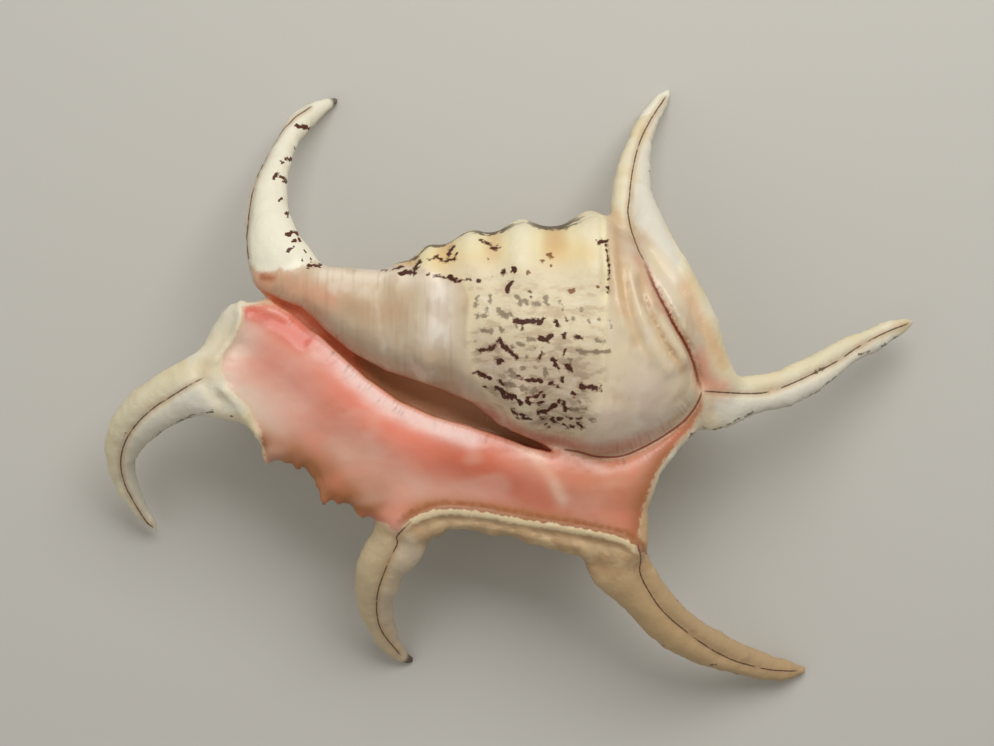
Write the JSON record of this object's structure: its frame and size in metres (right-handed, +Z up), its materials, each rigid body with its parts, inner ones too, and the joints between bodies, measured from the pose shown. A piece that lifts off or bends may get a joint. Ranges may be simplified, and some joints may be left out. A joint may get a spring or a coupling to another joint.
{
  "type": "spider conch shell",
  "caption": "Sea snail shell with a heavy body whorl, a long open aperture, a flared glossy lip and long curved spines, lying on its back.",
  "frame": {"origin": "on the floor under the middle of the shell's bounding box, with the shell lying on its back", "axes": "+X towards the spire end, -Y towards the flared outer lip, +Z up out of the aperture"},
  "size_m": [0.218, 0.163, 0.0592],
  "materials": {
    "shell": "satin lime shell, glazed around the aperture"
  },
  "bodies": {
    "root": {"shell": "shell"}
  },
  "joints": []
}
